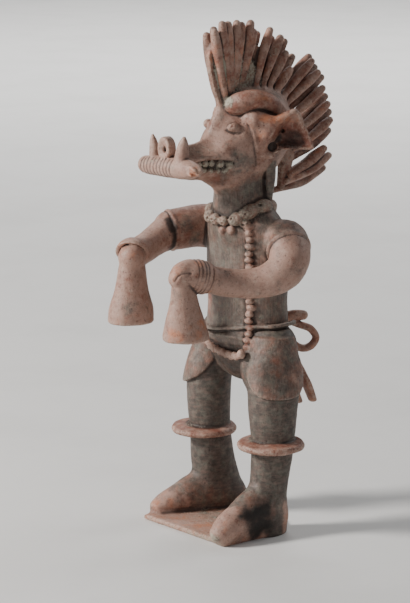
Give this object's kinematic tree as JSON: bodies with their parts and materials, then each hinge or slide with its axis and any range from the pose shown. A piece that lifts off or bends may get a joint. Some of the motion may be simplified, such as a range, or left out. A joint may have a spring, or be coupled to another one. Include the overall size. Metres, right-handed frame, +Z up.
{
  "type": "colima shaman figure",
  "caption": "Standing fired-clay figure in a long-snouted animal mask with a crest of feathers, holding a flaring hand bell in each hand, on a thin base plate.",
  "frame": {"origin": "on the flat underside of the base plate, below the middle of the figure", "axes": "+Z up; the figure looks along -Y and its left hand is on the +X side"},
  "size_m": [0.1492, 0.213, 0.4251],
  "materials": {
    "fired_clay": "worn burnished red-brown slip with dark fire clouds and pale mineral crust"
  },
  "bodies": {
    "root": {"shaman_figure": "fired_clay"}
  },
  "joints": []
}
